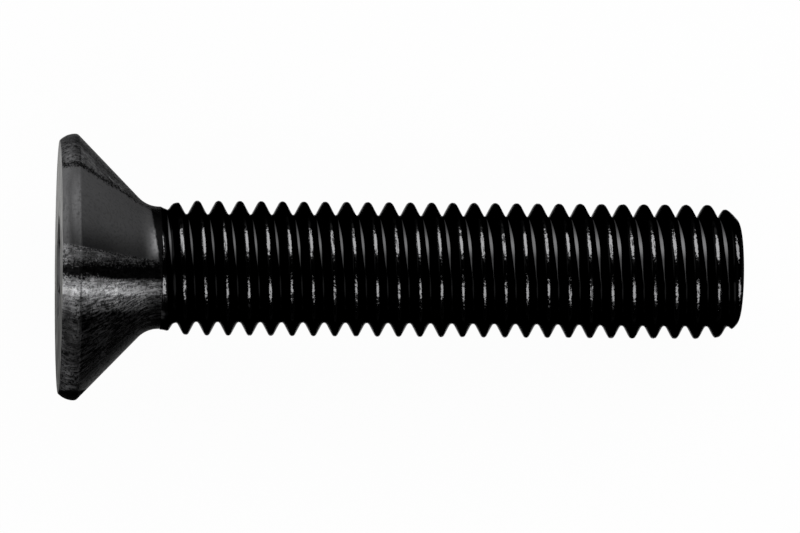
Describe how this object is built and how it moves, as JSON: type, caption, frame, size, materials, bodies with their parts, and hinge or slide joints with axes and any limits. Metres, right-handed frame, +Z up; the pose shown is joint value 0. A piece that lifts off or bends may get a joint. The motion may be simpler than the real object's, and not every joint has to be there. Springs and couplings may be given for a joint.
{
  "type": "countersunk socket screw",
  "caption": "Black countersunk socket screw, M8 x 40 with a 5 mm hexagon socket, threaded up to the head and lying on its rim and tip.",
  "frame": {"origin": "the bottom centre of the box, on the surface that the screw rests on", "axes": "+Z is up and +X points from the head towards the tip; the screw's own axis dips 6.0 degrees towards the tip"},
  "size_m": [0.0408, 0.0156, 0.0155],
  "materials": {
    "blackened_steel": "black oxide on cold-forged alloy steel, with worn grey crests, rim and seat"
  },
  "bodies": {
    "root": {"screw": "blackened_steel"}
  },
  "joints": []
}
